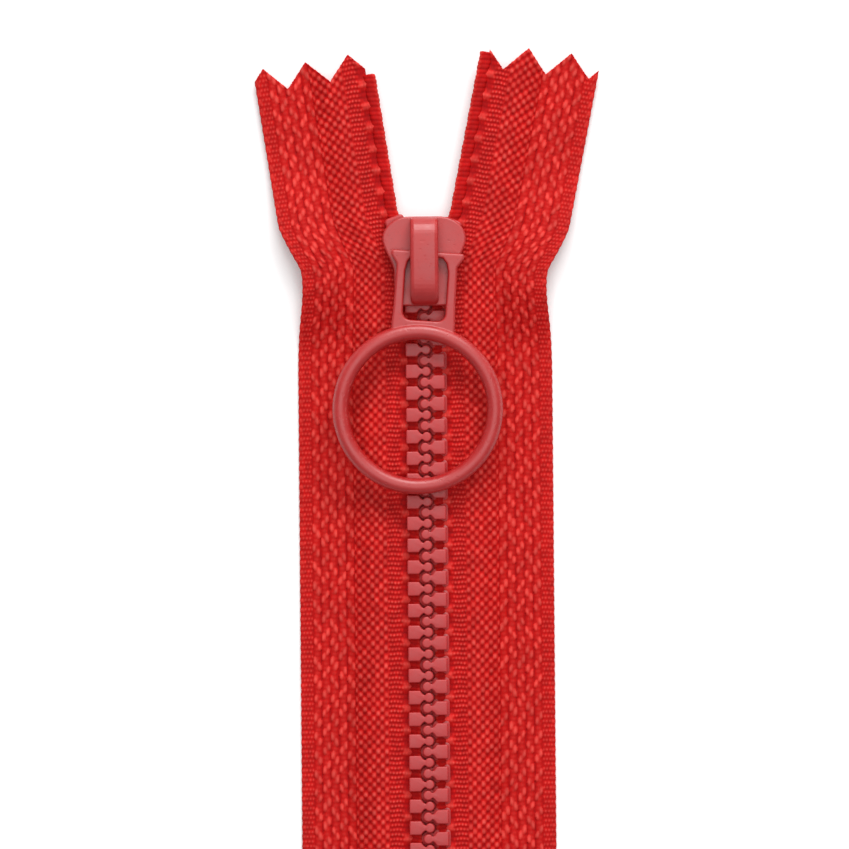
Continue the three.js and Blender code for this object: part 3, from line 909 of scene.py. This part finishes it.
def crown_profile():
    """The arch seen from the side, as (y, z): over the bar, with an eye that the bar passes through."""
    foot, top, length = CROWN_LOW[2], CROWN_HIGH[2], SLIDER_LENGTH
    points = [(length - 0.1, foot), (length - 0.15, top - 2.1)]
    points += quadratic(points[-1], (length - 0.35, top - 0.45), (length - 2.2, top - 0.08))
    points += quadratic(points[-1], (6.0, top + 0.12), (2.6, top - 0.3))
    points += quadratic(points[-1], (0.2, top - 0.6), (-0.5, top - 2.4))
    points += [(0.2, foot), (3.6, foot)]
    points += quadratic(points[-1], (3.9, BAR_Z + 0.8), (4.9, BAR_Z + 0.8))
    points.append((6.9, BAR_Z + 0.8))
    points += quadratic(points[-1], (7.7, BAR_Z + 0.8), (7.9, foot))
    return [(s + SLIDER_Y, z) for s, z in points]


def crown():
    """The arch with chamfered edges, hollowed for the pawl."""
    half = CROWN_HIGH[0]
    body = on_side(plate([crown_profile()], -half, half, CROWN_CHAMFER, 1))
    made = weld(mesh_object("crown_cast", *joined([body])), WELD)
    slot = pawl_slot("crown_slot", CROWN_SLOT_HALF)
    hollow = made.modifiers.new("slot", "BOOLEAN")
    hollow.operation = "DIFFERENCE"
    hollow.solver = "EXACT"
    hollow.object = slot
    settle(made)
    bpy.data.objects.remove(slot)
    soften(made, 0.055)
    return place(made, "slider", "painted_red", PAINTED, "crown")


def pawl_slot(name, half):
    """A box where the pawl moves inside the crown."""
    low = np.array([-half, PAWL_LOW[1] - 0.2, CROWN_LOW[2] - 1])
    high = np.array([half, PAWL_HIGH[1] + 0.1, PAWL_HIGH[2] + 0.4])
    corners = [(x, y, z) for z in (low[2], high[2]) for y in (low[1], high[1]) for x in (low[0], high[0])]
    faces = [(0, 2, 3, 1), (4, 5, 7, 6), (0, 1, 5, 4), (2, 6, 7, 3), (0, 4, 6, 2), (1, 3, 7, 5)]
    return mesh_object(name, corners, faces, smooth_shading=False)


# --- pull -----------------------------------------------------------------

PULL_YAW = -4.2
PULL_SHIFT = 0.45
RING_CENTRE, RING_RADIUS, WIRE = 19.5, 9.7, 1.0
LEG_OUTER, LEG_FLARE, WINDOW_HALF, WINDOW_END = 3.97, 4.55, 2.66, 8.4
BAR_HALF = 0.45


def torus(radius, wire, centre, around=160, section=28):
    a = np.linspace(0, 2 * np.pi, around, endpoint=False)
    b = np.linspace(0, 2 * np.pi, section, endpoint=False)
    aa, bb = np.meshgrid(a, b, indexing="ij")
    reach = radius + wire * np.cos(bb)
    points = np.stack([reach * np.cos(aa), centre + reach * np.sin(aa), wire * np.sin(bb)], axis=-1)
    grid = np.arange(around * section).reshape(around, section)
    next_around, next_both = np.roll(grid, -1, 0), np.roll(np.roll(grid, -1, 0), -1, 1)
    quads = np.stack([grid, next_around, next_both, np.roll(grid, -1, 1)], axis=-1).reshape(-1, 4)
    made = mesh_object("torus", points.reshape(-1, 3), quads)
    mesh = made.data.copy()
    bpy.data.objects.remove(made)
    return mesh


def frame_outline():
    """The pull's frame: a T at the bar, waisted legs, feet that run out onto the ring."""
    half = [(LEG_FLARE - 0.15, BAR_HALF - 0.2), (LEG_FLARE, BAR_HALF - 0.32)]
    half.append((LEG_FLARE, -BAR_HALF + 0.05))
    half += [(LEG_FLARE - 0.3, -0.85), (LEG_OUTER - 0.15, -1.5), (LEG_OUTER - 0.15, -2.6)]
    half += [(LEG_OUTER - 0.1, -6.6), (LEG_OUTER, -9.0)]
    for i in range(7):
        x = LEG_OUTER * (1 - i / 6)
        half.append((x, math.sqrt((RING_RADIUS - 0.2) ** 2 - x * x) - RING_CENTRE))
    mirrored = [(-x, y) for x, y in reversed(half[:-1])]
    return half + mirrored


def window_outline():
    w, r = WINDOW_HALF, 1.0
    half = list(arc(w - r, -WINDOW_END + r, r, r, -90, 0, 6))
    half += [(w, -2.2), (w - 0.25, -1.1), (w - 0.8, -BAR_HALF)]
    return both_sides(half)


def pull_tab():
    parts = [
        plate([frame_outline(), window_outline()], -0.5, 0.5, 0.28, 3),
        torus(RING_RADIUS, WIRE, -RING_CENTRE),
    ]
    drop = BAR_Z - (CHAIN_TOP + WIRE + 0.08)
    pitch = math.asin(drop / (RING_CENTRE + RING_RADIUS))
    matrix = (
        Matrix.Translation(Vector((PULL_SHIFT, SLIDER_Y + BAR_S, BAR_Z)) * MM)
        @ Matrix.Rotation(math.radians(PULL_YAW), 4, "Z")
        @ Matrix.Rotation(pitch, 4, "X")
    )
    made = cast("pull_tab_cast", parts, 0.085)
    made.data.transform(matrix)
    return place(made, "pull", "painted_red", PAINTED, "pull_tab")


# --- stops ----------------------------------------------------------------


def moulded_block(name, node, body, outline):
    low, high = node_box(node)
    made = cast(name, [plate([outline], low[2], high[2], 0.28, 3)], 0.07)
    return place(made, body, "moulded_red", MOULDED, node)


# A top stop seen from above, as (u, along): square below, rounded above.
TOP_STOP = [(2.9, -0.9), (2.9, 0.5), (2.8, 0.75), (2.5, 0.9)]
TOP_STOP += [(0.8, 0.9), (0.5, 0.75), (0.4, 0.5), (0.4, -0.9)]


def top_stop(name):
    row = ROWS[name]
    c = SLIDER_C + SIDES[name]["stop_s"]
    points = []
    for u, along in TOP_STOP:
        x, y = row.row(c, u, along)
        points.append((float(x), float(y)))
    return moulded_block(f"{name}_top_stop_moulded", f"{name}_top_stop", f"{name}_stringer", points)


def bottom_stop():
    x, y0, y1 = STOP_HIGH[0], STOP_LOW[1], STOP_HIGH[1]
    half = [(x - 0.6, y0), (x - 0.15, y0 + 0.15), (x, y0 + 0.6), (x, y1 - 0.4), (x - 0.4, y1)]
    outline = both_sides(half)
    return moulded_block("bottom_stop_moulded", "bottom_stop", "bottom_end", outline)


# --- camera, light, floor -------------------------------------------------

PICTURE_WIDTH = 107.0  # what the picture takes in across, in mm, at the chain
ROLL = 0.5
LENS_DISTANCE = 900.0
SLIDER_TOP_SHARE = 0.2562  # how far down the picture the slider's top edge lies
AXIS_SHARE = 0.4993  # how far across the slider's axis lies


def camera():
    data = bpy.data.cameras.new("camera")
    data.sensor_width = 36
    data.lens = 36 * LENS_DISTANCE / PICTURE_WIDTH
    data.clip_end = 50
    made = bpy.data.objects.new("camera", data)
    bpy.context.scene.collection.objects.link(made)
    # the slider's top edge, then back to the picture's middle along its own axes
    roll = math.radians(ROLL)
    right = Vector((math.cos(roll), -math.sin(roll), 0))
    up = Vector((math.sin(roll), math.cos(roll), 0))
    slider_top = Vector((0, SLIDER_HIGH[1], 0))
    middle = slider_top
    middle = middle + right * (0.5 - AXIS_SHARE) * PICTURE_WIDTH
    middle = middle - up * (0.5 - SLIDER_TOP_SHARE) * PICTURE_WIDTH
    made.location = (middle + Vector((0, 0, LENS_DISTANCE))) * MM
    made.rotation_euler = (0, 0, -roll)
    bpy.context.scene.camera = made


def area_light(name, at, aim, size, watts):
    data = bpy.data.lights.new(name, "AREA")
    data.shape = "RECTANGLE"
    data.size, data.size_y = size
    data.energy = watts
    made = bpy.data.objects.new(name, data)
    bpy.context.scene.collection.objects.link(made)
    made.location = at
    made.rotation_euler = (Vector(aim) - Vector(at)).to_track_quat("-Z", "Y").to_euler()


def stage():
    scene = bpy.context.scene
    scene.view_settings.view_transform = "Standard"
    world = bpy.data.worlds.new("studio")
    scene.world = world
    world.use_nodes = True
    background = world.node_tree.nodes["Background"]
    background.inputs["Color"].default_value = (1, 1, 1, 1)
    background.inputs["Strength"].default_value = 0.34
    middle = (0, 0.03, 0)
    area_light("key", (0.12, 0.8, 0.55), middle, (0.7, 0.3), 7.5)
    area_light("overhead", (0.0, 0.12, 1.1), middle, (1.0, 1.0), 5.2)
    points = [(-3000, -3000, 0), (3000, -3000, 0), (3000, 3000, 0), (-3000, 3000, 0)]
    floor = mesh_object("floor", np.array(points) + np.array([0, 0, -0.02]), [(0, 1, 2, 3)], False)
    floor.data.materials.append(floor_material())


camera()
for side_name, side_facts in SIDES.items():
    tape(side_name)
    bead_cord(side_name)
    for index, section in enumerate(tooth_places(side_facts), 1):
        tooth_section(side_name, index, section)
    top_stop(side_name)
bottom_stop()
slider_body()
crown()
pull_tab()
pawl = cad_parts["lock_pawl"]
pawl.data.materials.clear()
pawl.data.materials.append(STEEL)
stage()


def corners(box):
    return [list(map(float, corner)) for corner in box]
